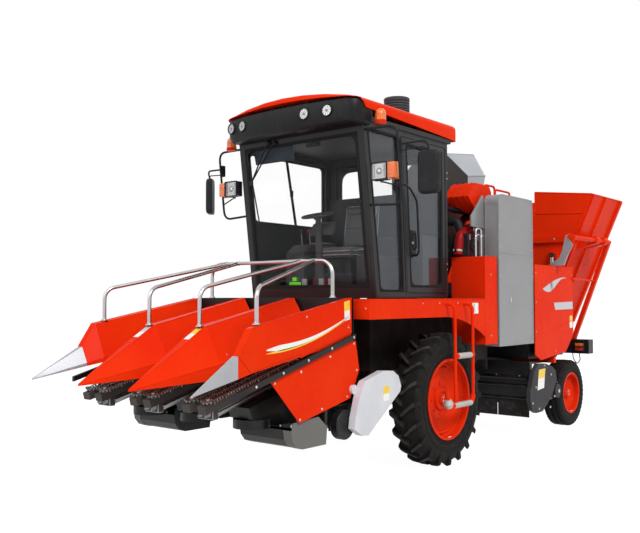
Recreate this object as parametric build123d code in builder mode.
"""Three-row self-propelled maize (corn) combine harvester, in build123d builder mode.

Frame: millimetres, +Z up, the machine faces -Y, +X is its left side. The origin is on the
ground, in the middle of the machine's box. Lengths along Y are given from the front axle.
"""
import os
from math import cos, hypot, pi, radians, sin, tan

from build123d import *

os.makedirs("parts", exist_ok=True)

# ---------------------------------------------------------------- driving dimensions
header_reach = 3270.0        # front axle to the tips of the dividers
wheelbase = 3232.0
tail_reach = wheelbase + 1218.0   # front axle to the rear wall of the ear bin
front_y = (header_reach - tail_reach) / 2
rear_y = front_y + wheelbase

running_gap = 0.05           # radial, shaft in bore
joint_gap = 6.0              # between bodies that move past each other
weld_gap = 0.3               # between members that butt together in one node
seat_gap = 0.3               # between curved faces of one wheel

# wheels
drive_tyre_radius = 655.0
drive_tyre_width = 310.0
drive_wheel_x = 965.0
drive_rim_radius = 385.0
guide_tyre_radius = 424.0
guide_tyre_width = 235.0
guide_wheel_x = 920.0
guide_rim_radius = 250.0
kingpin_x = 690.0

# chassis
beam_x = 420.0
beam_width = 80.0
beam_height = 160.0
beam_bottom = 760.0
beam_top = beam_bottom + beam_height
beam_front = 720.0           # ahead of the front axle
tail_beam_y = wheelbase + 768.0
tail_beam_half = 80.0
tail_beam_z = 983.0
tail_beam_height = 192.0
beam_rear = tail_beam_y - tail_beam_half - weld_gap
tie_height = 120.0
tie_half = 50.0

# header pivot and lift
pivot_ahead = 930.0
pivot_z = 930.0
pivot_shaft_radius = 40.0
lift_foot_ahead = 700.0
lift_foot_z = 420.0
lift_eye_ahead = 1500.0
lift_eye_z = 500.0
lift_x = 250.0

# header
row_pitch = 632.0
header_half_width = 1000.0
header_back = 1420.0         # ahead of the front axle
header_slope = 15.0          # degrees, row units fall towards the front
sheet = 6.0

# platform and cab
deck_top = 1643.0
deck_half_width = 1120.0
deck_skirt = 178.0
cab_half_width = 800.0
cab_floor_z = deck_top + 7.0
cab_top_z = 3300.0
cab_wall = 50.0
cab_front_low = 800.0        # ahead of the front axle
cab_front_high = 1020.0
cab_rear = 510.0

# body and bin
body_half_width = 1050.0
body_front = wheelbase - 1122.0
body_rear = wheelbase + 33.0
body_top = 2050.0
bin_front = body_rear + 45.0
bin_top = 3000.0
bin_floor = 1250.0
bin_lean = 0.4257            # the left wall leans out by this much for each unit of height
bin_rim_x = 1300.0
bin_wall = 8.0
tip_x = 1250.0
tip_z = 2410.0
tip_tube_radius = 30.0

sides = (("left", 1), ("right", -1))


def side_plate(x, thickness, *points, mode=Mode.ADD):
    """A plate across the machine, from x to x + thickness, through (Y from the front axle, Z)."""
    with BuildSketch(Plane.YZ.offset(x)) as profile:
        Polygon(*[(front_y + y, z) for y, z in points])
    extrude(profile.sketch, amount=thickness, mode=mode)


def cross_plate(y, thickness, *points, mode=Mode.ADD):
    """A plate along the machine, from y to y + thickness behind the front axle, through (X, Z)."""
    with BuildSketch(Plane.XZ.offset(-front_y - y - thickness)) as profile:
        Polygon(*points)
    extrude(profile.sketch, amount=thickness, mode=mode)


def block(x_range, y_range, z_range, mode=Mode.ADD):
    """A box between two limits along each axis; Y from the front axle."""
    (x0, x1), (y0, y1), (z0, z1) = sorted(x_range), y_range, z_range
    with BuildSketch(Plane.XY.offset(z0)) as base:
        with Locations(((x0 + x1) / 2, front_y + (y0 + y1) / 2)):
            Rectangle(x1 - x0, y1 - y0)
    extrude(base.sketch, amount=z1 - z0, mode=mode)


def rod(start, end, radius, mode=Mode.ADD):
    """A straight round bar between two points; Y from the front axle."""
    a = Vector(start[0], start[1] + front_y, start[2])
    b = Vector(end[0], end[1] + front_y, end[2])
    with BuildSketch(Plane(origin=a, z_dir=b - a)) as section:
        Circle(radius)
    extrude(section.sketch, amount=(b - a).length, mode=mode)


def bent_tube(points, bend, radius):
    """A round tube through points with one bend radius; Y from the front axle."""
    with BuildLine() as path:
        FilletPolyline(*[(x, y + front_y, z) for x, y, z in points], radius=bend)
    with BuildSketch(Plane(origin=path.line @ 0, z_dir=path.line % 0)) as section:
        Circle(radius)
    sweep(section.sketch, path=path.line)


def turned(side, x, y, z, profile, mode=Mode.ADD):
    """A solid of revolution about an axis across the machine, from (outboard from x, radius) points."""
    with BuildSketch(Plane(origin=(side * x, y, z), x_dir=(side, 0, 0), z_dir=(0, -side, 0))) as section:
        Polygon(*profile)
    revolve(section.sketch, axis=Axis((side * x, y, z), (1, 0, 0)), mode=mode)


def house(centre, half, ridge_half, skirt, shoulder, ridge):
    """Cross-section of a divider hood: skirts, shoulders and a narrow flat ridge."""
    return [(centre - half, skirt), (centre - half, shoulder), (centre - ridge_half, ridge),
            (centre + ridge_half, ridge), (centre + half, shoulder), (centre + half, skirt)]


def hood_loft(sections, mode=Mode.ADD):
    """A ruled loft through cross-sections given as (ahead of the front axle, points)."""
    faces = []
    for ahead, points in sections:
        with BuildSketch(Plane.XZ.offset(ahead - front_y)) as section:
            Polygon(*points)
        faces.append(section.sketch)
    loft(faces, ruled=True, mode=mode)


def faceted(side, x, y, z, count, sections, mode=Mode.ADD):
    """A many-sided ring form about an axis across the machine, through (outboard from x, radius)."""
    faces = []
    for outboard, radius in sections:
        with BuildSketch(Plane(origin=(side * (x + outboard), y, z), x_dir=(0, 1, 0),
                               z_dir=(1, 0, 0))) as section:
            RegularPolygon(radius, count)
        faces.append(section.sketch)
    loft(faces, ruled=True, mode=mode)


def tyre(side, x, y, z, count, width, rim_radius, tread):
    """A faceted tyre body: tread sections, recessed side walls and a bore that clears the rim's seat."""
    half = width / 2
    bead = 0.84 * half
    bore = rim_radius / cos(pi / count) + seat_gap
    bulge = (tread[0][1] + rim_radius) / 2
    faceted(side, x, y, z, count, tread)
    faceted(side, x, y, z, count, [(-half - 1, bore), (half + 1, bore)], mode=Mode.SUBTRACT)
    for end in (-1, 1):
        faceted(side, x, y, z, count, [(end * bead, bore), (end * (half + 1), bulge)], mode=Mode.SUBTRACT)


def export(part, label):
    part.label = label
    export_step(part, f"parts/{label}.step")


# ---------------------------------------------------------------- driving wheels
spindle_radius = 60.0
drive_hub_in = -30.0         # inboard end of the hub from the wheel's middle
drive_hub_out = 45.0
drive_disc = 16.0
rim_wall = 12.0
rim_flange = 14.0
lug_count = 14
lug_height = 33.0
lug_root = 22.0              # how deep a lug starts inside the tread
lug_width = 40.0
lug_sweep = 112.0            # how far a lug's outer end trails its point
lug_middle = 0.48            # share of the half-width at the middle of a lug
crown = drive_tyre_radius - lug_height - 3.0
# Middle line of a lug: (share of the half-width, how far it trails)
lug_line = ((-0.05, 0), (0.45, 62), (0.97, lug_sweep))

for name, side in sides:
    with BuildPart() as drive_tyre:
        half = drive_tyre_width / 2
        tyre(side, drive_wheel_x, front_y, drive_tyre_radius, 36, drive_tyre_width, drive_rim_radius,
             [(-half, crown - 56), (-0.82 * half, crown - 16), (0, crown), (0.82 * half, crown - 16),
              (half, crown - 56)])
        for hand in (1, -1):
            for lug in range(lug_count):
                turn = 2 * pi * (lug + (0.5 if hand > 0 else 0)) / lug_count
                radial = Vector(0, -sin(turn), cos(turn))
                middle = Vector(side * drive_wheel_x + hand * lug_middle * half, front_y, drive_tyre_radius)
                with BuildSketch(Plane(origin=middle + radial * (crown - lug_root), x_dir=(1, 0, 0),
                                       z_dir=radial)) as bar:
                    line = [(hand * (across - lug_middle) * half, lag - lug_sweep / 2) for across,
                            lag in lug_line]
                    Polygon(*[(a, b - lug_width / 2) for a, b in line],
                            *[(a, b + lug_width / 2) for a, b in line[::-1]], align=None)
                extrude(bar.sketch, amount=lug_root + lug_height)
    export(drive_tyre.part, f"drive_tyre_{name}")

    with BuildPart() as drive_rim:
        seat = drive_rim_radius - seat_gap
        edge = 0.42 * drive_tyre_width
        turned(side, drive_wheel_x, front_y, drive_tyre_radius,
               [(-edge, seat - rim_wall), (edge, seat - rim_wall), (edge, seat), (-edge, seat)])
        for end in (-edge, edge):
            turned(side, drive_wheel_x, front_y, drive_tyre_radius,
                   [(end, seat - rim_wall), (end + rim_flange * (1 if end > 0 else -1), seat - rim_wall),
                    (end + rim_flange * (1 if end > 0 else -1), seat + rim_flange),
                    (end + 5 * (1 if end > 0 else -1), seat + rim_flange),
                    (end + 5 * (1 if end > 0 else -1), seat), (end, seat)])
        turned(side, drive_wheel_x, front_y, drive_tyre_radius,
               [(62, seat - rim_wall + 1), (62, 300), (20, 210), (20, 110), (drive_hub_in, 110),
                (drive_hub_in, spindle_radius + running_gap), (drive_hub_out, spindle_radius + running_gap),
                (drive_hub_out, 110), (36, 110), (36, 204), (78, 294), (78, seat - rim_wall + 1)])
    export(drive_rim.part, f"drive_rim_{name}")

# ---------------------------------------------------------------- steered rear wheels
stub_radius = 35.0
for name, side in sides:
    with BuildPart() as guide_tyre:
        half = guide_tyre_width / 2
        rings = ((1.0, 62), (0.92, 26), (0.72, 6), (0.62, 4), (0.56, 16), (0.50, 3), (0.14, 1), (0.08, 13))
        tread = [(-share * half, guide_tyre_radius - drop) for share, drop in rings]
        tyre(side, guide_wheel_x, rear_y, guide_tyre_radius, 30, guide_tyre_width, guide_rim_radius,
             tread + [(-across, radius) for across, radius in tread[::-1]])
    export(guide_tyre.part, f"guide_tyre_{name}")

    with BuildPart() as guide_rim:
        seat = guide_rim_radius - seat_gap
        edge = 0.42 * guide_tyre_width
        turned(side, guide_wheel_x, rear_y, guide_tyre_radius,
               [(-edge - 4, seat - 10), (edge + 4, seat - 10), (edge + 4, seat), (-edge - 4, seat)])
        turned(side, guide_wheel_x, rear_y, guide_tyre_radius,
               [(40, seat - 9), (40, 180), (15, 140), (15, 72), (-30, 72), (-30, stub_radius + running_gap),
                (50, stub_radius + running_gap), (50, 72), (27, 72), (27, 134), (52, 174), (52, seat - 9)])
    export(guide_rim.part, f"guide_rim_{name}")

# ---------------------------------------------------------------- front axle
axle_tube_radius = 100.0
final_drive_radius = 170.0
with BuildPart() as front_axle:
    rod((-700, 0, drive_tyre_radius), (700, 0, drive_tyre_radius), axle_tube_radius)
    for name, side in sides:
        rim_inner = drive_wheel_x + drive_hub_in
        turned(side, 0, front_y, drive_tyre_radius,
               [(600, 0), (600, final_drive_radius), (770, final_drive_radius), (770, 0)])
        turned(side, 0, front_y, drive_tyre_radius,
               [(770, 0), (770, 85), (rim_inner - joint_gap, 85), (rim_inner - joint_gap, spindle_radius),
                (drive_wheel_x + drive_hub_out, spindle_radius), (drive_wheel_x + drive_hub_out, 0)])
        block((side * beam_x - 60, side * beam_x + 60), (-90, 90), (drive_tyre_radius, beam_bottom))
    block((-190, 190), (-150, 150), (drive_tyre_radius - 160, drive_tyre_radius + 100))
export(front_axle.part, "front_axle")

# ---------------------------------------------------------------- rear axle and knuckles
axle_z = guide_tyre_radius
kingpin_radius = 28.0
boss_radius = 58.0
boss_half = 80.0
fork_plate = 26.0
with BuildPart() as rear_axle:
    block((-kingpin_x, kingpin_x), (wheelbase - 60, wheelbase + 60), (axle_z - 55, axle_z + 55))
    for name, side in sides:
        with BuildSketch(Plane.XY.offset(axle_z - boss_half)):
            with Locations((side * kingpin_x, rear_y)):
                Circle(boss_radius)
        extrude(amount=2 * boss_half)
        with BuildSketch(Plane.XY.offset(axle_z - boss_half)):
            with Locations((side * kingpin_x, rear_y)):
                Circle(kingpin_radius + running_gap)
        extrude(amount=2 * boss_half, mode=Mode.SUBTRACT)
    block((-110, 110), (wheelbase - 45, wheelbase + 45), (axle_z + 55, axle_z + 150))
export(rear_axle.part, "rear_axle")

for name, side in sides:
    with BuildPart() as knuckle:
        with BuildSketch(Plane.XY.offset(axle_z - boss_half - joint_gap - fork_plate)):
            with Locations((side * kingpin_x, rear_y)):
                Circle(kingpin_radius)
        extrude(amount=2 * (boss_half + joint_gap + fork_plate))
        for low in (axle_z - boss_half - joint_gap - fork_plate, axle_z + boss_half + joint_gap):
            x_edges = (side * (kingpin_x - 45), side * (kingpin_x + 108))
            block(x_edges, (wheelbase - 45, wheelbase + 45), (low, low + fork_plate))
        x_edges = (side * (kingpin_x + 78), side * (kingpin_x + 108))
        block(x_edges, (wheelbase - 60, wheelbase + 60),
              (axle_z - boss_half - joint_gap - fork_plate, axle_z + boss_half + joint_gap + fork_plate))
        turned(side, 0, rear_y, axle_z,
               [(kingpin_x + 100, 0), (kingpin_x + 100, 55), (guide_wheel_x - 36, 55),
                (guide_wheel_x - 36, stub_radius), (guide_wheel_x + 50, stub_radius),
                (guide_wheel_x + 50, 0)])
    export(knuckle.part, f"knuckle_{name}")

# ---------------------------------------------------------------- chassis frame
tow_eye_radius = 17.0
tow_eye_z = 972.5
tow_plate = 25.0
bracket = 30.0               # thickness of the pivot and cylinder brackets
axle_pad = axle_z + 200.0    # top of the rear axle's cross member
between_beams = beam_x - beam_width / 2 - weld_gap
between_brackets = beam_x - bracket / 2 - weld_gap
with BuildPart() as chassis_frame:
    for name, side in sides:
        x_edges = (side * (beam_x - beam_width / 2), side * (beam_x + beam_width / 2))
        block(x_edges, (-beam_front, beam_rear), (beam_bottom, beam_top))
        side_plate(side * beam_x - bracket / 2, bracket, (-beam_front, beam_bottom + 20),
                   (-pivot_ahead - 60, pivot_z - 90), (-pivot_ahead - 75, pivot_z),
                   (-pivot_ahead - 40, pivot_z + 75), (-pivot_ahead + 60, pivot_z + 75),
                   (-beam_front + 160, beam_top - 4), (-beam_front + 160, beam_bottom + 20))
        side_plate(side * beam_x - bracket / 2, bracket, (-lift_foot_ahead - 70, lift_foot_z - 60),
                   (-lift_foot_ahead + 70, lift_foot_z - 60), (-lift_foot_ahead + 220, beam_bottom + 20),
                   (-lift_foot_ahead, beam_bottom + 20))
        block(x_edges, (wheelbase - 60, wheelbase + 60), (axle_pad + weld_gap, beam_bottom))
    for tie_y in (150, 1050, 1500, wheelbase - 582, wheelbase - 182, tail_beam_y - 150):
        block((-between_beams, between_beams), (tie_y - tie_half, tie_y + tie_half),
              (beam_bottom + 10, beam_bottom + tie_height))
    block((-beam_x - beam_width / 2, beam_x + beam_width / 2), (wheelbase - 45, wheelbase + 45),
          (axle_z + 150, axle_pad))
    for ahead, height in ((lift_foot_ahead, lift_foot_z), (pivot_ahead, pivot_z)):
        rod((-between_brackets, -ahead, height), (between_brackets, -ahead, height), pivot_shaft_radius)
    block((-body_half_width + 50, body_half_width - 50),
          (tail_beam_y - tail_beam_half, tail_beam_y + tail_beam_half),
          (tail_beam_z - tail_beam_height / 2, tail_beam_z + tail_beam_height / 2))
    tow_from = tail_beam_y + tail_beam_half
    block((-60, 60), (tow_from, tow_from + 90), (tow_eye_z - tow_plate / 2, tow_eye_z + tow_plate / 2))
    with BuildSketch(Plane.XY.offset(tow_eye_z - tow_plate / 2)) as tow_hole:
        with Locations((0, front_y + tow_from + 50)):
            Circle(tow_eye_radius)
    extrude(tow_hole.sketch, amount=tow_plate, mode=Mode.SUBTRACT)
export(chassis_frame.part, "chassis_frame")

# ---------------------------------------------------------------- feeder house and elevator
feeder_half = 340.0
duct_wall = 8.0
with BuildPart() as feeder_house:
    side_plate(-feeder_half, 2 * feeder_half, (-header_back, 620), (-header_back, 1090),
               (-pivot_ahead + 70, 1090), (-pivot_ahead + 70, 830), (-pivot_ahead, 790))
    inside = feeder_half - duct_wall
    side_plate(-inside, 2 * inside, (-header_back - 10, 628), (-header_back - 10, 1082),
               (-pivot_ahead + 90, 1082), (-pivot_ahead + 90, 838), (-pivot_ahead, 798), mode=Mode.SUBTRACT)
    rod((-feeder_half, -pivot_ahead, pivot_z), (feeder_half, -pivot_ahead, pivot_z),
        pivot_shaft_radius + running_gap, mode=Mode.SUBTRACT)
export(feeder_house.part, "feeder_house")

elevator_half = 340.0
with BuildPart() as elevator:
    side_plate(-elevator_half, 2 * elevator_half, (-800, 790), (-800, 1110), (450, 1420), (1700, 3135),
               (1980, 2900), (760, 1130))
    inside = elevator_half - duct_wall
    side_plate(-inside, 2 * inside, (-820, 798), (-820, 1102), (455, 1409), (1713, 3157),
               (1995, 2908), (752, 1138), mode=Mode.SUBTRACT)
export(elevator.part, "elevator")

hood_front = 1505.0
hood_rear = 2200.0
hood_half = 500.0
hood_ridge_half = 200.0
hood_foot = 2870.0
hood_eave = hood_foot + 230.0
hood_ridge = hood_eave + 300.0
hood_rise = 80.0             # the ridge and eaves climb this much towards the rear
hood_tab = 1700.0
with BuildPart() as elevator_hood:
    shell = [(-hood_front, 0), (-hood_rear, hood_rise)]
    hood_loft([(ahead, house(0, hood_half, hood_ridge_half, hood_foot, hood_eave + up, hood_ridge + up))
               for ahead, up in shell])
    inner = hood_half - sheet
    cavity = [(-hood_front - sheet, 0), (-hood_rear - 1, hood_rise)]
    hood_loft([(ahead, house(0, inner, hood_ridge_half - 3, hood_foot - 1, hood_eave - 3 + up,
                             hood_ridge - sheet + up))
               for ahead, up in cavity], mode=Mode.SUBTRACT)
    side_plate(-hood_half - 1, 2 * hood_half + 2, (hood_front + 30, hood_foot - 1),
               (hood_front + 40, hood_foot + 100),
               (hood_rear - 310, hood_foot + 150), (hood_rear - 260, hood_eave + 60),
               (hood_rear + 10, hood_ridge + 90),
               (hood_rear + 10, hood_foot - 1), mode=Mode.SUBTRACT)
    block((-elevator_half - seat_gap, elevator_half + seat_gap), (hood_front - 1, hood_front + 2 * sheet),
          (hood_foot - 1, hood_foot + 16), mode=Mode.SUBTRACT)
    for side in (1, -1):
        block((side * (elevator_half + seat_gap), side * (inner + 1)), (hood_tab, hood_tab + 40),
              (hood_eave - 90, hood_eave - 50))
export(elevator_hood.part, "elevator_hood")

# ---------------------------------------------------------------- header
auger_ahead = 1660.0
auger_z = 930.0
auger_radius = 150.0
auger_shaft = 45.0
flight_pitch = 300.0
flight_facets = 12           # flat strips in one turn of the flighting
flight_steps = 30
flight_inner = 200.0
flight_sheet = 3.0
trough_radius = 175.0
back_top = 1655.0
bar_drop = tan(radians(header_slope))
bar_rear = 1430.0            # ahead of the front axle
bar_reach = 2850.0
bar_z = 1300.0
bar_height = 45.0
bar_half = 14.0
bar_fall = (bar_reach - bar_rear) * bar_drop
inner_x = header_half_width - sheet
trough_front = auger_ahead + trough_radius
beam_depth = 60.0
with BuildPart() as header_frame:
    block((-inner_x, inner_x), (-header_back - sheet, -header_back),
          (auger_z - trough_radius - sheet, back_top))
    with BuildSketch(Plane.YZ.offset(-inner_x)) as trough:
        with Locations((front_y - auger_ahead, auger_z)):
            Circle(trough_radius + sheet)
            Circle(trough_radius, mode=Mode.SUBTRACT)
        with Locations((front_y - auger_ahead, auger_z + trough_radius)):
            Rectangle(3 * trough_radius, 2 * trough_radius, mode=Mode.SUBTRACT)
        with Locations((front_y - auger_ahead + trough_radius / 2 + 1, auger_z)):
            Rectangle(trough_radius + 2 * sheet, 3 * trough_radius, mode=Mode.SUBTRACT)
    extrude(amount=2 * inner_x)
    block((-inner_x, inner_x), (-auger_ahead, -header_back),
          (auger_z - trough_radius - sheet, auger_z - trough_radius))
    block((-inner_x, inner_x), (-trough_front - beam_depth, -trough_front), (auger_z - 60, auger_z + 60))
    block((-feeder_half + duct_wall, feeder_half - duct_wall), (-header_back - 20, -header_back + 20),
          (auger_z - trough_radius, 1082), mode=Mode.SUBTRACT)
    for side in (1, -1):
        for x in (side * lift_x - 50, side * lift_x + 30):
            side_plate(x, 20, (-lift_eye_ahead - 60, lift_eye_z - 50),
                       (-lift_eye_ahead + 50, lift_eye_z - 50),
                       (-header_back - 10, 752), (-lift_eye_ahead - 60, 752))
        side_plate(side * (header_half_width + bar_half) - bar_half, 2 * bar_half,
                   (-bar_reach, bar_z - bar_fall), (-bar_reach, bar_z + bar_height - bar_fall),
                   (-bar_rear, bar_z + bar_height), (-bar_rear, bar_z))
export(header_frame.part, "header_frame")

with BuildPart() as header_auger:
    rod((-inner_x + joint_gap, -auger_ahead, auger_z), (inner_x - joint_gap, -auger_ahead, auger_z),
        auger_shaft)
    for side in (1, -1):
        strips = []
        for step in range(flight_steps + 1):
            turn = 2 * pi * step / flight_facets
            x = side * (flight_inner + flight_pitch * step / flight_facets)
            tangent = (0, -cos(side * turn), -sin(side * turn))
            with BuildSketch(Plane(origin=(x, front_y - auger_ahead, auger_z), x_dir=(1, 0, 0),
                                   z_dir=tangent)) as strip:
                Polygon((-flight_sheet, auger_shaft - 3), (flight_sheet, auger_shaft - 3),
                        (flight_sheet, auger_radius), (-flight_sheet, auger_radius), align=None)
            strips.append(strip.sketch)
        for first, second in zip(strips, strips[1:]):
            loft([first, second], ruled=True)
    for paddle in range(4):
        turn = pi / 2 * paddle
        radial = Vector(0, -sin(turn), cos(turn))
        with BuildSketch(Plane(origin=Vector(0, front_y - auger_ahead, auger_z), x_dir=(1, 0, 0),
                               z_dir=(0, -cos(turn), -sin(turn)))) as blade:
            Polygon((-flight_inner + 20, auger_shaft - 3), (flight_inner - 20, auger_shaft - 3),
                    (flight_inner - 20, auger_radius - 12), (-flight_inner + 20, auger_radius - 12),
                    align=None)
        extrude(blade.sketch, amount=2 * flight_sheet)
export(header_auger.part, "header_auger")

with BuildPart() as header_side_plates:
    for side in (1, -1):
        x_low = inner_x if side == 1 else -header_half_width
        side_plate(x_low, sheet, (-2815, 1225), (-2680, 1425), (-1454, 1651), (-1454, 1352), (-2120, 1174),
                   (-2120, 1210), (-2690, 1100))
        side_plate(x_low, sheet, (-2480, 1018), (-2140, 665), (-1480, 800), (-1350, 1030), (-1400, 1284),
                   (-1454, 1284))
export(header_side_plates.part, "header_side_plates")

# Inner divider sections: (ahead of the axle, half-width, ridge half-width, skirt z, shoulder z, ridge z)
inner_divider = ((header_reach, 8, 2, 962, 970, 978), (2557, 225, 60, 1010, 1130, 1423),
                 (1454, 225, 30, 1290, 1350, 1651))
# Outer divider sections: (ahead of the front axle, inboard edge, ridge width, skirt z, shoulder z, ridge z)
outer_divider = ((header_reach - 6, 982, 4, 968, 974, 980), (2815, 860, 60, 1060, 1090, 1225),
                 (2680, 800, 60, 1090, 1130, 1425), (1454, 790, 60, 1290, 1340, 1651))
hood_sheet = 5.0


def outer_house(side, inset, inboard, ridge_width, skirt, shoulder, ridge):
    """Half hood against the header's end plate."""
    outer = inner_x - inset
    return [(side * x, z) for x, z in
            ((inboard + inset, skirt - 2 * inset), (inboard + inset, shoulder - inset / 2),
             (outer - ridge_width + inset, ridge - inset), (outer, ridge - inset),
             (outer, skirt - 2 * inset))]


with BuildPart() as divider_hoods:
    for centre in (-row_pitch / 2, row_pitch / 2):
        hood_loft([(a, house(centre, h, r, s, m, t)) for a, h, r, s, m, t in inner_divider])
        hood_loft([(a, house(centre, h - 1.2 * hood_sheet, r - 1, s - 10, m - 3, t - hood_sheet))
                   for a, h, r, s, m, t in inner_divider], mode=Mode.SUBTRACT)
    for side in (1, -1):
        hood_loft([(row[0], outer_house(side, 0, *row[1:])) for row in outer_divider[1:]])
        hood_loft([(row[0] + 0.5 * (row[0] > 2000) - 0.5, outer_house(side, hood_sheet, *row[1:]))
                   for row in outer_divider[1:]], mode=Mode.SUBTRACT)
export(divider_hoods.part, "divider_hoods")

with BuildPart() as divider_tips:
    for side in (1, -1):
        hood_loft([(row[0] + 1 * (row[0] < 2900), outer_house(side, 0,
                                                              *row[1:])) for row in outer_divider[:2]])
export(divider_tips.part, "divider_tips")

rail_radius = 17.0
bow_z = 1987.0
bow_ahead = 1423.0
bow_half = 768.0
with BuildPart() as header_rails:
    bent_tube([(-bow_half, -bow_ahead, back_top), (-bow_half, -bow_ahead, bow_z),
               (bow_half, -bow_ahead, bow_z),
               (bow_half, -bow_ahead, back_top)], 130, rail_radius)
    for foot_x, end_x, foot_z in ((row_pitch / 2, 400, 1424), (1.5 * row_pitch, 560, 1452)):
        for side in (1, -1):
            bent_tube([(side * foot_x, -2575, foot_z), (side * foot_x, -2575, 1730),
                       (side * end_x, -bow_ahead, bow_z)],
                      110, rail_radius)
export(header_rails.part, "header_rails")

# Row units lie in a plane that falls towards the front; local y runs rearward along it.
row_plane = Plane(origin=(0, front_y - bar_rear, 1300), x_dir=(1, 0, 0),
                  z_dir=(0, -sin(radians(header_slope)), cos(radians(header_slope))))
roll_radius = 34.0
roll_rib = 39.0
deck_from = -1560.0
deck_to = -450.0
with BuildPart() as row_units:
    for row in (-row_pitch, 0, row_pitch):
        with BuildSketch(row_plane.offset(-110)) as decks:
            for side in (1, -1):
                with Locations((row + side * 85, (deck_from + deck_to) / 2)):
                    Rectangle(90, deck_to - deck_from)
        extrude(decks.sketch, amount=60)
        top_rear = 1300 - (trough_front + 8 - bar_rear) * bar_drop - 60
        top_front = 1300 - (trough_front + 200 - bar_rear) * bar_drop - 60
        side_plate(row - 200, 400, (-trough_front - 8, auger_z + 60), (-trough_front - 8, top_rear),
                   (-trough_front - 200, top_front), (-trough_front - 200, auger_z + 60))
    for row in (-row_pitch, 0, row_pitch):
        for side in (1, -1):
            with BuildSketch(Plane(origin=row_plane.from_local_coords(Vector(row + side * 42, deck_from + 120,
                                                                             -155)),
                                   z_dir=row_plane.y_dir)) as section:
                Circle(roll_radius)
                Rectangle(2 * roll_rib, 10)
                Rectangle(10, 2 * roll_rib)
            extrude(section.sketch, amount=deck_to - deck_from - 310)
export(row_units.part, "row_units")

chain_x = 92.0
chain_half = 48.0
chain_band = 12.0
lugs_in_run = 8
chain_end = (deck_to - deck_from - 60) / 2 - chain_half


def chain_loop(half):
    """Outline of a chain loop: two straight runs and two five-sided ends."""
    front = [(half * cos(pi * n / 5), -chain_end - half * sin(pi * n / 5)) for n in range(6)]
    rear = [(-half * cos(pi * n / 5), chain_end + half * sin(pi * n / 5)) for n in range(6)]
    return front[::-1] + rear[::-1]


with BuildPart() as gathering_chains:
    for row in (-row_pitch, 0, row_pitch):
        with BuildSketch(row_plane.offset(-48)) as loops:
            for side in (1, -1):
                with Locations((row + side * chain_x, (deck_from + deck_to) / 2)):
                    Polygon(*chain_loop(chain_half), align=None)
                for run in (1, -1):
                    for lug in range(lugs_in_run):
                        along = (deck_from + deck_to) / 2 - chain_end + 2 * chain_end * (lug + 0.5) / lugs_in_run
                        with Locations((row + side * chain_x + run * (chain_half + 10), along)):
                            Rectangle(32, 14)
                with Locations((row + side * chain_x, (deck_from + deck_to) / 2)):
                    Polygon(*chain_loop(chain_half - chain_band), align=None, mode=Mode.SUBTRACT)
        extrude(loops.sketch, amount=26)
export(gathering_chains.part, "gathering_chains")

skid_inner = 410.0
skid_outer = 980.0
skid_z = 450.0
skid_leg = 940.0
with BuildPart() as skid_shoes:
    for side in (1, -1):
        x_low = side * (skid_inner + skid_outer) / 2 - (skid_outer - skid_inner) / 2
        side_plate(x_low, skid_outer - skid_inner, (-2215, 610), (-2200, 530), (-2155, 475), (-2080, skid_z),
                   (-1780, skid_z), (-1780, skid_z + sheet), (-2078, skid_z + sheet), (-2151, 481),
                   (-2194, 533),
                   (-2209, 610))
        for x in (skid_inner, skid_outer - sheet):
            side_plate(min(side * x, side * (x + sheet)), sheet, (-2209, 612), (-2194, 533), (-2151, 481),
                       (-2078, skid_z + sheet), (-1780, skid_z + sheet), (-1765, 590), (-1880, 685),
                       (-2195, 668))
        side_plate(side * skid_leg - skid_outer + skid_leg + sheet, 2 * (skid_outer - skid_leg - sheet),
                   (-1790, skid_z + sheet - 1), (-1790, 740), (-1750, 740), (-1780, skid_z + sheet - 1))
        block((side * skid_inner, side * (skid_outer - sheet)), (-1880, -1874), (skid_z + sheet - 1, 560))
export(skid_shoes.part, "skid_shoes")

gearbox_half = 120.0
pulley_ahead = 1565.0
pulley_z = 585.0
with BuildPart() as row_gearboxes:
    rear_face = trough_front + beam_depth + weld_gap
    for row in (-row_pitch, 0, row_pitch):
        side_plate(row - gearbox_half, 2 * gearbox_half, (-2450, 790), (-rear_face, 930), (-rear_face, 622),
                   (-2150, 622), (-2420, 700))
        rod((row, -2300, 617), (row, -2300, 690), 150)
    rod((weld_gap - skid_inner, -2000, 660), (skid_inner - weld_gap, -2000, 660), 45)

    turned(1, 0, front_y - pulley_ahead, pulley_z,
           [(945, 0), (945, 122), (955, 126), (963, 126), (968, 108), (973, 126), (981, 126), (986, 108),
            (991, 126),
            (999, 126), (1004, 108), (1009, 126), (1017, 126), (1022, 120), (1022, 0)])
    rod((skid_leg - 60, -pulley_ahead, pulley_z), (950, -pulley_ahead, pulley_z), 32)
    side_plate(skid_leg - 60, 10, (-pulley_ahead - 60, pulley_z - 60), (-pulley_ahead + 60, pulley_z - 60),
               (-pulley_ahead + 90, 748), (-pulley_ahead - 90, 748))
export(row_gearboxes.part, "row_gearboxes")

cover_x = 1030.0
cover_width = 66.0
with BuildPart() as drive_cover:
    side_plate(cover_x, cover_width, (-1391, 940), (-1117, 1010), (-966, 1000), (-881, 949), (-838, 858),
               (-854, 809), (-1103, 639), (-1344, 475), (-1430, 482), (-1544, 551), (-1529, 640),
               (-1468, 817),
               (-1407, 922))
    rod((inner_x + sheet, -1450, 870), (cover_x, -1450, 870), 40)
export(drive_cover.part, "drive_cover")

# ---------------------------------------------------------------- header lift cylinders
eye_radius = 60.0
barrel_radius = 45.0
lift_rod_radius = 25.0
lift_length = hypot(lift_eye_ahead - lift_foot_ahead, lift_eye_z - lift_foot_z)
lift_barrel_length = 0.62 * lift_length


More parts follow.
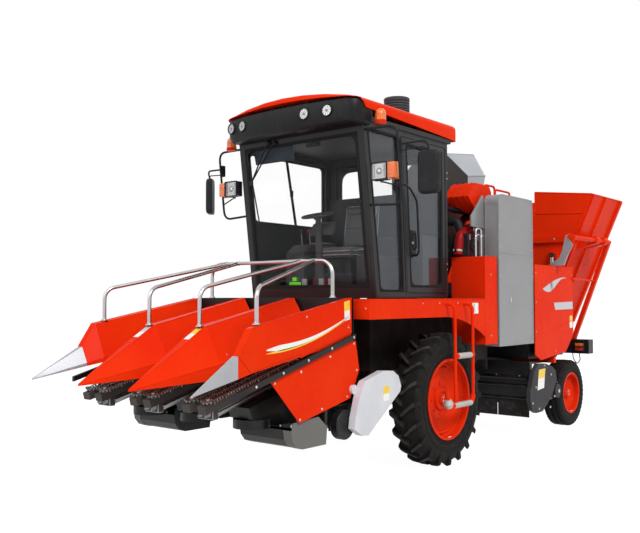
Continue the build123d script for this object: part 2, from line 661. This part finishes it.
def along_lift(side, distance):
    """A point on a lift cylinder's axis, this far from its foot."""
    share = distance / lift_length
    return (side * lift_x, -lift_foot_ahead - share * (lift_eye_ahead - lift_foot_ahead),
            lift_foot_z + share * (lift_eye_z - lift_foot_z))


with BuildPart() as lift_barrels:
    for side in (1, -1):
        rod(along_lift(side, 50), along_lift(side, lift_barrel_length), barrel_radius)
        rod((side * lift_x - 28, -lift_foot_ahead, lift_foot_z),
            (side * lift_x + 28, -lift_foot_ahead, lift_foot_z),
            eye_radius)
        rod((side * lift_x - 28, -lift_foot_ahead, lift_foot_z),
            (side * lift_x + 28, -lift_foot_ahead, lift_foot_z),
            pivot_shaft_radius + running_gap, mode=Mode.SUBTRACT)
        rod(along_lift(side, 70), along_lift(side, lift_barrel_length + 1), lift_rod_radius + running_gap,
            mode=Mode.SUBTRACT)
export(lift_barrels.part, "lift_barrels")

with BuildPart() as lift_rods:
    for side in (1, -1):
        rod(along_lift(side, 260), along_lift(side, lift_length - 10), lift_rod_radius)
        rod((side * lift_x - 24, -lift_eye_ahead, lift_eye_z),
            (side * lift_x + 24, -lift_eye_ahead, lift_eye_z), 34)
export(lift_rods.part, "lift_rods")

# ---------------------------------------------------------------- platform, ladder, side boxes
skirt = 8.0
deck_sheet = 40.0
platform_front = 1360.0
platform_rear = 725.0
deck_rear = 545.0
with BuildPart() as platform:
    block((-deck_half_width, deck_half_width), (-platform_front, deck_rear),
          (deck_top - deck_sheet, deck_top))
    for side in (1, -1):
        with BuildSketch(Plane.YZ.offset(side * (deck_half_width - skirt / 2) - skirt / 2)) as skirt_face:
            with BuildLine():
                Polyline((front_y - 60, deck_top - deck_skirt),
                         (front_y - platform_front, deck_top - deck_skirt),
                         (front_y - platform_front, deck_top), (front_y + platform_rear, deck_top),
                         (front_y + platform_rear, 1243))
                ThreePointArc((front_y + platform_rear, 1243), (front_y + 370, 1392),
                              (front_y - 60, deck_top - deck_skirt))
            make_face()
        extrude(skirt_face.sketch, amount=skirt)
        for y in (-520, 410):
            block((side * (beam_x - 30), side * (beam_x + 30)), (y - 30, y + 30),
                  (beam_top, deck_top - deck_sheet))
export(platform.part, "platform")

liner_x = 600.0
bulkhead_y = -640.0
skirt_y = -600.0
with BuildPart() as arch_liners:
    for side in (1, -1):
        block((side * liner_x, side * (liner_x + sheet)), (bulkhead_y, platform_rear - 5),
              (beam_top + 10, deck_top - deck_sheet - weld_gap))
        block((side * (elevator_half + joint_gap), side * (liner_x + 1)), (bulkhead_y, bulkhead_y + sheet),
              (pivot_z + 15, deck_top - deck_sheet - weld_gap))
        block((side * (beam_x + bracket / 2 + 1), side * (liner_x + sheet)), (skirt_y, skirt_y + sheet),
              (skid_z, beam_bottom - weld_gap))
    block((1 - beam_x + bracket / 2, beam_x - bracket / 2 - 1), (skirt_y, skirt_y + sheet),
          (skid_z, beam_bottom - weld_gap))
export(arch_liners.part, "arch_liners")

ladder_x = 1220.0
ladder_tube = 16.0
with BuildPart() as access_ladder:
    for y in (-80, 270):
        bent_tube([(deck_half_width, y, 1590), (ladder_x, y, 1590), (ladder_x, y, 690)], 60, ladder_tube)
    rod((ladder_x, -80, 1085), (ladder_x, 270, 1085), 26)
    bent_tube([(ladder_x, -245, 770), (ladder_x, -210, 612), (ladder_x, 250, 612), (ladder_x, 268, 690)], 70,
              ladder_tube + 8)
    rod((ladder_x, -80, 690), (ladder_x, -80, 612), ladder_tube)
export(access_ladder.part, "access_ladder")

box_front = 725.0
box_rear = 997.0
box_inner = 720.0
box_bottom = 1160.0
box_top = 2095.0
with BuildPart() as side_boxes:
    for side in (1, -1):
        block((side * box_inner, side * deck_half_width), (box_front, box_rear), (box_bottom, box_top))
        block((side * (beam_x - 30), side * box_inner), (box_front + 90, box_front + 170),
              (box_bottom + 20, box_bottom + 80))
        block((side * (beam_x - 30), side * (beam_x + 30)), (box_front + 90, box_front + 170),
              (beam_top, box_bottom + 80))
export(side_boxes.part, "side_boxes")

# ---------------------------------------------------------------- cab
cab_lean = (cab_front_high - cab_front_low) / (cab_top_z - cab_floor_z)


def cab_front_at(z):
    """How far the cab's leaning front is ahead of the front axle at a height."""
    return cab_front_low + cab_lean * (z - cab_floor_z)


sill = cab_floor_z + 60
head = cab_top_z - 60
door_front_low = -265.0
door_front_high = -355.0
door_rear = 455.0
door_bottom = cab_floor_z + 55
door_top = cab_top_z - 60
with BuildPart() as cab_frame:
    side_plate(-cab_half_width, 2 * cab_half_width, (-cab_front_at(cab_floor_z), cab_floor_z),
               (-cab_front_at(cab_top_z), cab_top_z), (cab_rear, cab_top_z), (cab_rear, cab_floor_z))
    inside = cab_half_width - cab_wall
    side_plate(-inside, 2 * inside, (-cab_front_at(cab_floor_z) + cab_wall, cab_floor_z + 40),
               (-cab_front_at(cab_top_z + 5) + cab_wall, cab_top_z + 5), (cab_rear - cab_wall, cab_top_z + 5),
               (cab_rear - cab_wall, cab_floor_z + 40), mode=Mode.SUBTRACT)
    cross_plate(-1100, 500, (-cab_half_width + 70, sill + 40), (-cab_half_width + 70, head - 40),
                (cab_half_width - 70, head - 40), (cab_half_width - 70, sill + 40), mode=Mode.SUBTRACT)
    cross_plate(cab_rear - 100, 200, (-cab_half_width + 60, sill), (-cab_half_width + 60, head),
                (cab_half_width - 60, head), (cab_half_width - 60, sill), mode=Mode.SUBTRACT)
    side_plate(-cab_half_width - 10, cab_wall + 20, (-cab_front_at(sill) + 65, sill),
               (-cab_front_at(head) + 65, head),
               (door_rear, head), (door_rear, sill), mode=Mode.SUBTRACT)
    side_plate(cab_half_width - cab_wall - 10, cab_wall + 20, (-cab_front_at(sill) + 65, sill),
               (-cab_front_at(head) + 65, head), (door_front_high - 66, head), (door_front_low - 66, sill),
               mode=Mode.SUBTRACT)
    side_plate(cab_half_width - cab_wall - 10, cab_wall + 20,
               (door_front_low - joint_gap, door_bottom - joint_gap),
               (door_front_high - joint_gap, door_top + joint_gap),
               (door_rear + joint_gap, door_top + joint_gap),
               (door_rear + joint_gap, door_bottom - joint_gap), mode=Mode.SUBTRACT)
export(cab_frame.part, "cab_frame")

window_low = 2450.0
window_high = 3190.0
with BuildPart() as cab_panels:
    side_plate(-cab_half_width, cab_wall, (-cab_front_at(sill) + 65, sill), (-cab_front_at(head) + 65, head),
               (door_rear, head), (door_rear, sill))
    side_plate(-cab_half_width - 10, cab_wall + 20, (-cab_front_at(window_low) + 100, window_low),
               (-cab_front_at(window_high) + 100, window_high), (370, window_high), (370, window_low),
               mode=Mode.SUBTRACT)
    edge = cab_half_width - 60
    cross_plate(cab_rear - cab_wall, cab_wall, (-edge, sill), (-edge, head), (edge, head), (edge, sill))
    cross_plate(cab_rear - cab_wall - 10, cab_wall + 20, (-edge + 70, 2400), (-edge + 70, 3170),
                (edge - 70, 3170),
                (edge - 70, 2400), mode=Mode.SUBTRACT)
export(cab_panels.part, "cab_panels")

glass = 6.0
with BuildPart() as cab_glass:
    side_plate(-cab_half_width + 70, 2 * cab_half_width - 140, (-cab_front_at(sill + 40) + 12, sill + 40),
               (-cab_front_at(head - 40) + 12, head - 40), (-cab_front_at(head - 40) + 12 + glass, head - 40),
               (-cab_front_at(sill + 40) + 12 + glass, sill + 40))
    side_plate(-cab_half_width + 20, glass, (-cab_front_at(window_low) + 100, window_low),
               (-cab_front_at(window_high) + 100, window_high), (370, window_high), (370, window_low))
    side_plate(cab_half_width - 20 - glass, glass, (-cab_front_at(sill) + 65, sill),
               (-cab_front_at(head) + 65, head),
               (door_front_high - 66, head), (door_front_low - 66, sill))
    cross_plate(cab_rear - 26, glass, (-edge + 70, 2400), (-edge + 70, 3170), (edge - 70, 3170),
                (edge - 70, 2400))
export(cab_glass.part, "cab_glass")

door_stile = 52.0
with BuildPart() as cab_door:
    side_plate(cab_half_width - cab_wall, cab_wall, (door_front_low, door_bottom),
               (door_front_high, door_top),
               (door_rear, door_top), (door_rear, door_bottom))
    side_plate(cab_half_width - cab_wall - 10, cab_wall + 20,
               (door_front_low + door_stile, door_bottom + door_stile),
               (door_front_high + door_stile + 4, door_top - door_stile),
               (door_rear - door_stile, door_top - door_stile),
               (door_rear - door_stile, door_bottom + door_stile),
               mode=Mode.SUBTRACT)
export(cab_door.part, "cab_door")

with BuildPart() as door_glass:
    side_plate(cab_half_width - 26, glass,
               (door_front_low + door_stile, door_bottom + door_stile),
               (door_front_high + door_stile + 4, door_top - door_stile),
               (door_rear - door_stile, door_top - door_stile),
               (door_rear - door_stile, door_bottom + door_stile))
export(door_glass.part, "door_glass")

roof_half = 860.0
roof_front = 1260.0
roof_rear = 620.0
roof_corner = 170.0
visor_rear = 900.0
roof_bow = 150.0             # the front edge bows forward by this much
roof_crown = 40.0
roof_eave_z = 3552.0
crown_facets = ((1.0, 0.0), (0.62, 0.70), (0.25, 1.0))   # share of the half width, share of the crown
visor_inset = 12.0


def roof_plan(inset):
    """Plan of the roof: straight sides, a front that bows forward and rounded corners."""
    half, rear = roof_half - inset, front_y + roof_rear - inset
    corner, middle = front_y - roof_front + roof_bow + inset, front_y - roof_front + inset
    with BuildSketch(Plane.XY.offset(3200)) as plan:
        with BuildLine():
            Polyline((half, corner), (half, rear), (-half, rear), (-half, corner))
            ThreePointArc((-half, corner), (0, middle), (half, corner))
        make_face()
        fillet(plan.vertices(), roof_corner - inset)
    return plan.sketch


with BuildPart() as cab_roof:
    side_plate(-roof_half, 2 * roof_half, (-roof_front, 3435), (-roof_front + 10, 3485),
               (-roof_front + 70, 3530),
               (-roof_front + 180, 3556), (-700, 3584), (300, 3584), (roof_rear - 60, 3560),
               (roof_rear, 3500),
               (roof_rear, 3330), (cab_rear, cab_top_z), (-visor_rear, cab_top_z), (-visor_rear, 3435))
    with BuildSketch(Plane.XZ.offset(-front_y - 2000)) as crown_face:
        crown = [(share * roof_half, roof_eave_z + rise * roof_crown) for share, rise in crown_facets]
        Polygon((-roof_half, 3200), *[(-x, z) for x, z in crown], *crown[::-1], (roof_half, 3200), align=None)
    extrude(crown_face.sketch, amount=4000, mode=Mode.INTERSECT)
    extrude(roof_plan(0), amount=500, mode=Mode.INTERSECT)
export(cab_roof.part, "cab_roof")

with BuildPart() as lamp_visor:
    side_plate(-roof_half + visor_inset, 2 * (roof_half - visor_inset), (-roof_front + 14, 3435),
               (-roof_front + 24, 3330),
               (-roof_front + 60, 3280), (-1070, 3245), (-cab_front_high - 10, 3245),
               (-cab_front_high - 10, cab_top_z),
               (-visor_rear, cab_top_z), (-visor_rear, 3435))
    extrude(roof_plan(visor_inset), amount=500, mode=Mode.INTERSECT)
export(lamp_visor.part, "lamp_visor")

lamp_radius = 46.0
lamp_depth = 14.0
lamp_z = 3375.0
mirror_outer = 1520.0
with BuildPart() as lamps:
    visor_half = roof_half - visor_inset
    bow_radius = (visor_half ** 2 + roof_bow ** 2) / (2 * roof_bow)
    for x in (-650, -490, 290, 500):
        out_x, out_y = x / bow_radius, -(1 - (x / bow_radius) ** 2) ** 0.5
        face_y = -roof_front + visor_inset + bow_radius * (1 + out_y)
        rod((x + weld_gap * out_x, face_y + weld_gap * out_y, lamp_z),
            (x + lamp_depth * out_x, face_y + lamp_depth * out_y, lamp_z), lamp_radius)
    for side in (1, -1):
        block((side * 930, side * 1050), (-990, -900), (2770, 2880))
export(lamps.part, "lamps")

with BuildPart() as amber_lamps:
    for side in (1, -1):
        block((side * 1050, side * 1100), (-985, -900), (2780, 2870))
        rod((side * 905, -1000, 3240), (side * 905, -1000, 3360), 42)
export(amber_lamps.part, "amber_lamps")

with BuildPart() as mirrors:
    for side in (1, -1):
        bent_tube([(side * cab_half_width, -970, 3215), (side * 1120, -970, 3215), (side * 1120, -885, 2520),
                   (side * cab_half_width, -885, 2520)], 70, 11)
        bent_tube([(side * 1118, -915, 3040), (side * 1410, -890, 3050), (side * 1410, -860, 2960)], 50, 9)
        with BuildSketch(Plane.XZ.offset(-front_y + 820)) as mirror_face:
            with Locations((side * (mirror_outer - 107), 2775)):
                RectangleRounded(215, 390, 60)
        extrude(mirror_face.sketch, amount=70)
export(mirrors.part, "mirrors")

with BuildPart() as seat:
    block((-170, 330), (-560, -60), (2060, 2170))
    side_plate(-150, 460, (-60, 2100), (-140, 2100), (-60, 2640), (20, 2640))
export(seat.part, "seat")

with BuildPart() as controls:
    block((-100, 260), (-480, -140), (cab_floor_z + 40, 2060))
    rod((0, -660, cab_floor_z + 44), (0, -690, 2470), 45)
    rod((0, -690, 2465), (0, -700, 2495), 170)
export(controls.part, "controls")

with BuildPart() as air_intake:
    rod((30, 700, 2700), (30, 700, 3700), 60)
    rod((30, 700, 3700), (30, 700, 3940), 145)
    bent_tube([(30, 700, 2720), (30, 700, 2560), (700, 880, 2500), (770, 880, 2340)], 60, 55)
    block((640, 900), (760, 1010), (box_top, 2350))
export(air_intake.part, "air_intake")

# ---------------------------------------------------------------- engine and cooling
screen_outer = 1100.0
screen_inner = 930.0
screen_rear = body_front - 155.0
screen_front = screen_rear - 865.0
screen_bottom = 1120.0
screen_top = 2800.0
with BuildPart() as engine:
    block((-450, 550), (1200, 1850), (beam_top, 1680))
    block((560, 795), (screen_front + 60, screen_rear - 60), (1250, 2350))
    block((550, 560), (1300, 1360), (1260, 1320))
export(engine.part, "engine")

with BuildPart() as radiator_screen:
    with BuildSketch(Plane.YZ.offset(screen_inner)) as screen_face:
        with Locations((front_y + (screen_front + screen_rear) / 2, (screen_bottom + screen_top) / 2)):
            Rectangle(screen_rear - screen_front, screen_top - screen_bottom)
        fillet(screen_face.vertices().sort_by(Axis.Z)[2:], 90)
    extrude(screen_face.sketch, amount=screen_outer - screen_inner)
    cross_plate(screen_front + 10, screen_rear - screen_front - 20, (screen_inner, 1240),
                (screen_inner, 2690),
                (800, 2430), (800, 1240))
export(radiator_screen.part, "radiator_screen")

duct_front = 960.0
duct_rear = 1330.0
duct_foot = 2615.0
duct_top = 2930.0
rail_tube = 12.0
with BuildPart() as cooling_duct:
    side_plate(560, 300, (duct_front - 110, 2770), (duct_front, duct_top - 50), (duct_front + 60, duct_top),
               (duct_rear, duct_top), (duct_rear + 60, duct_top - 70), (duct_rear + 60, 2700),
               (duct_rear, duct_foot),
               (duct_front + 60, duct_foot))
    for rib in range(4):
        side_plate(590 + 70 * rib, 14, (duct_front - 122, 2770), (duct_front - 8, duct_top - 44),
                   (duct_front + 56, duct_top + 8), (duct_rear + 2, duct_top + 8),
                   (duct_rear + 68, duct_top - 68),
                   (duct_rear + 68, 2698), (duct_rear + 4, duct_foot - 8), (duct_front + 56, duct_foot - 8))
    block((700, 780), (duct_rear - 90, duct_rear - 20), (2350 + weld_gap, duct_foot + 1))
    for x, y_from, y_to, foot, top in ((screen_inner + 40, 1270, 1630, screen_top + weld_gap,
                                        screen_top + 70),
                                       (screen_inner - 80, 1250, 1490, 2698, 2935)):
        bent_tube([(x, y_from, foot), (x, y_from, top), (x, y_to, top), (x, y_to, foot)], 40, rail_tube)
    for y in (1250, 1490):
        rod((screen_inner - 80, y, 2710), (screen_inner - weld_gap, y, 2710), rail_tube)
export(cooling_duct.part, "cooling_duct")

# ---------------------------------------------------------------- rear body and bin
panel = 10.0
husker_half = 955.0
husker_rear = wheelbase - 82.0
with BuildPart() as body_panels:
    for side in (1, -1):
        x_low = body_half_width - panel if side == 1 else -body_half_width
        side_plate(x_low, panel, (body_front, body_top), (body_rear, body_top), (body_rear, 1175),
                   (body_rear - 245, 970), (body_front + 160, 900), (body_front, 973))
        for y in (body_front + 190, body_front + 890):
            block((side * husker_half, side * (body_half_width - panel)), (y - 20, y + 20), (1100, 1140))
export(body_panels.part, "body_panels")

with BuildPart() as husker:
    block((-husker_half, husker_half), (body_front, husker_rear), (beam_top, 1850))
    block((-husker_half + panel, husker_half - panel), (body_front + panel, husker_rear - panel),
          (1400, 1851),
          mode=Mode.SUBTRACT)
export(husker.part, "husker")

post_lean = 0.378
rear_post_y = tail_beam_y
front_post_y = wheelbase - 512.0
with BuildPart() as bin_frame:
    rod((tip_x, front_post_y - 30, tip_z), (tip_x, rear_post_y + 60, tip_z), tip_tube_radius)
    cross_plate(front_post_y - 10, 20, (tip_x - 60, tip_z + 20), (tip_x + 5, tip_z + 42), (tip_x + 62, tip_z),
                (tip_x + 40, tip_z - 100), (tip_x - 39, tip_z - 233), (tip_x - 85, body_top + joint_gap),
                (1030, body_top + joint_gap), (1030, beam_top - 80), (975, beam_top - 80),
                (975, body_top + 20),
                (tip_x - 143, tip_z - 254), (tip_x - 103, tip_z - 156))
    rod((body_half_width + 15, body_rear - 40, 1905), (body_half_width, rear_post_y + 10, 1885), 14)
    block((beam_x + beam_width / 2, 1030), (front_post_y - 30, front_post_y + 30),
          (beam_top - 80, beam_top - 5))
    foot_z = tail_beam_z + tail_beam_height / 2
    cross_plate(rear_post_y, 60, (tip_x - 30, tip_z), (tip_x + 30, tip_z),
                (tip_x + 30 - post_lean * (tip_z - foot_z), foot_z),
                (tip_x - 30 - post_lean * (tip_z - foot_z), foot_z))
    block((beam_x + beam_width / 2, 830), (wheelbase - 25, wheelbase + 25), (880, 940))
    for y in (wheelbase - 40, wheelbase + 30):
        cross_plate(y, 10, (740, 900), (740, 1010), (770, 1040), (806, 1040), (830, 1010), (830, 900))
    rod((788, wheelbase - 40, 1000), (788, wheelbase + 40, 1000), 18)
export(bin_frame.part, "bin_frame")

left_foot = bin_rim_x - bin_lean * (bin_top - bin_floor)
bin_peak = bin_top + 85.0
bin_outline = ((bin_rim_x, bin_top), (left_foot, bin_floor), (-750, bin_floor), (-1050, bin_top),
               (-450, bin_peak),
               (520, bin_peak))
inner_outline = ((bin_rim_x - 9, bin_peak + 5), (bin_rim_x - 9, bin_top),
                 (left_foot - 6, bin_floor + bin_wall),
                 (-742, bin_floor + bin_wall), (-1041, bin_top), (-1041, bin_peak + 5))
rib_height = 30.0
with BuildPart() as ear_bin:
    cross_plate(bin_front, tail_reach - bin_front, *bin_outline)
    cross_plate(bin_front + bin_wall, tail_reach - bin_front - 2 * bin_wall, *inner_outline,
                mode=Mode.SUBTRACT)
    block((-450, 520), (bin_front - 1, bin_front + bin_wall + 1), (bin_top - 250, bin_peak + 1),
          mode=Mode.SUBTRACT)
    block((-950, 950), (bin_front - 36, bin_front + 1), (2390, 2475))
    for y in (bin_front + 40, bin_front + 480, bin_front + 1040):
        cross_plate(y, 60, (bin_rim_x - 15 * bin_lean, bin_top - 15),
                    (bin_rim_x - 15 * bin_lean + rib_height, bin_top - 15),
                    (left_foot + 60 * bin_lean + rib_height, bin_floor + 60),
                    (left_foot + 60 * bin_lean, bin_floor + 60))
    for y in (bin_front + 190, bin_front + 470):
        wall_x = bin_rim_x - bin_lean * (bin_top - tip_z)
        cross_plate(y, 120, (wall_x - 4, tip_z + 60), (tip_x, tip_z + 48), (tip_x, tip_z - 48),
                    (wall_x - 40, tip_z - 100))
        rod((tip_x, y, tip_z), (tip_x, y + 120, tip_z), 52)
        rod((tip_x, y - 1, tip_z), (tip_x, y + 121, tip_z), tip_tube_radius + running_gap, mode=Mode.SUBTRACT)
    block((738, 838), (wheelbase + 34, bin_front + 1), (2170, 2270))
export(ear_bin.part, "ear_bin")

# ---------------------------------------------------------------- bin cylinder
ram_y = wheelbase
ram_foot = (788.0, 1000.0)
ram_eye = (788.0, 2219.0)
ram_length = hypot(ram_eye[0] - ram_foot[0], ram_eye[1] - ram_foot[1])
with BuildPart() as bin_barrel:
    rod((ram_foot[0], ram_y, ram_foot[1] + 20), (ram_foot[0], ram_y, ram_foot[1] + 60), 24)
    rod((ram_foot[0], ram_y, ram_foot[1] + 55), (ram_foot[0], ram_y, ram_foot[1] + 700), 40)
    rod((ram_foot[0], ram_y - 26, ram_foot[1]), (ram_foot[0], ram_y + 26, ram_foot[1]), 36)
    rod((ram_foot[0], ram_y - 27, ram_foot[1]), (ram_foot[0], ram_y + 27, ram_foot[1]), 18 + running_gap,
        mode=Mode.SUBTRACT)
    rod((ram_foot[0], ram_y, ram_foot[1] + 75), (ram_foot[0], ram_y, ram_foot[1] + 701), 22 + running_gap,
        mode=Mode.SUBTRACT)
export(bin_barrel.part, "bin_barrel")

with BuildPart() as bin_rod:
    rod((ram_foot[0], ram_y, ram_foot[1] + 120), (ram_eye[0], ram_y, ram_eye[1]), 22)
    rod((ram_eye[0], ram_y - 26, ram_eye[1]), (ram_eye[0], ram_y + 26, ram_eye[1]), 34)
export(bin_rod.part, "bin_rod")

# ---------------------------------------------------------------- stalk chopper
rotor_y = wheelbase - 932.0
rotor_z = 480.0
rotor_reach = 225.0
rotor_shaft = 55.0
chopper_half = 1030.0
chopper_face = 310.0         # the hood's front wall is this far ahead of the rotor
with BuildPart() as chopper_hood:
    side_plate(-chopper_half, 2 * chopper_half, *[(rotor_y + y, z) for y, z in
               ((-chopper_face, 390), (-chopper_face, 752), (240, 752), (330, 640), (330, 400))])
    inside = chopper_half - 10
    side_plate(-inside, 2 * inside, *[(rotor_y + y, z) for y, z in
               ((8 - chopper_face, 380), (8 - chopper_face, 743), (236, 743), (322, 636), (322, 380))],
               mode=Mode.SUBTRACT)
    rod((-chopper_half - 1, rotor_y, rotor_z), (chopper_half + 1, rotor_y, rotor_z),
        rotor_shaft + running_gap,
        mode=Mode.SUBTRACT)
    for side in (1, -1):
        block((side * (beam_x - 30), side * (beam_x + 30)), (rotor_y - 110, rotor_y + 110),
              (745, beam_bottom))
        block((side * (beam_x + 60), side * chopper_half),
              (rotor_y - chopper_face, rotor_y + 8 - chopper_face), (750, 900))
    for z, radius in ((700, 22), (610, 16), (460, 14)):
        rod((-chopper_half + 30, rotor_y - chopper_face - 12, z),
            (chopper_half - 30, rotor_y - chopper_face - 12, z), radius)
export(chopper_hood.part, "chopper_hood")

with BuildPart() as chopper_rotor:
    rod((-chopper_half, rotor_y, rotor_z), (chopper_half, rotor_y, rotor_z), rotor_shaft)
    for blade in range(12):
        x = -880 + 160 * blade
        for quarter in range(4):
            with BuildSketch(Plane.YZ.offset(x + 40 * quarter - 60)) as arm:
                with Locations((front_y + rotor_y, rotor_z)):
                    with PolarLocations(rotor_shaft + (rotor_reach - rotor_shaft) / 2 - 4, 1,
                                        start_angle=90 * quarter + 20):
                        Rectangle(rotor_reach - rotor_shaft + 8, 50)
            extrude(arm.sketch, amount=12)
export(chopper_rotor.part, "chopper_rotor")

with BuildPart() as chopper_flaps:
    for n in range(5):
        x = -1020 + 410 * n
        block((x, x + 400), (rotor_y - chopper_face - 8, rotor_y - chopper_face - weld_gap), (243, 436))
export(chopper_flaps.part, "chopper_flaps")

with BuildPart() as chopper_guard:
    side_plate(chopper_half + 12, 50, *[(rotor_y + y, z) for y, z in
               ((-212, 870), (-330, 770), (-430, 560), (-437, 450), (-380, 340), (-270, 296), (-100, 300),
                (40, 374),
                (200, 500), (323, 649), (290, 760), (190, 815), (0, 862))])
    rod((chopper_half, rotor_y - 100, 640), (chopper_half + 14, rotor_y - 100, 640), 40)
export(chopper_guard.part, "chopper_guard")
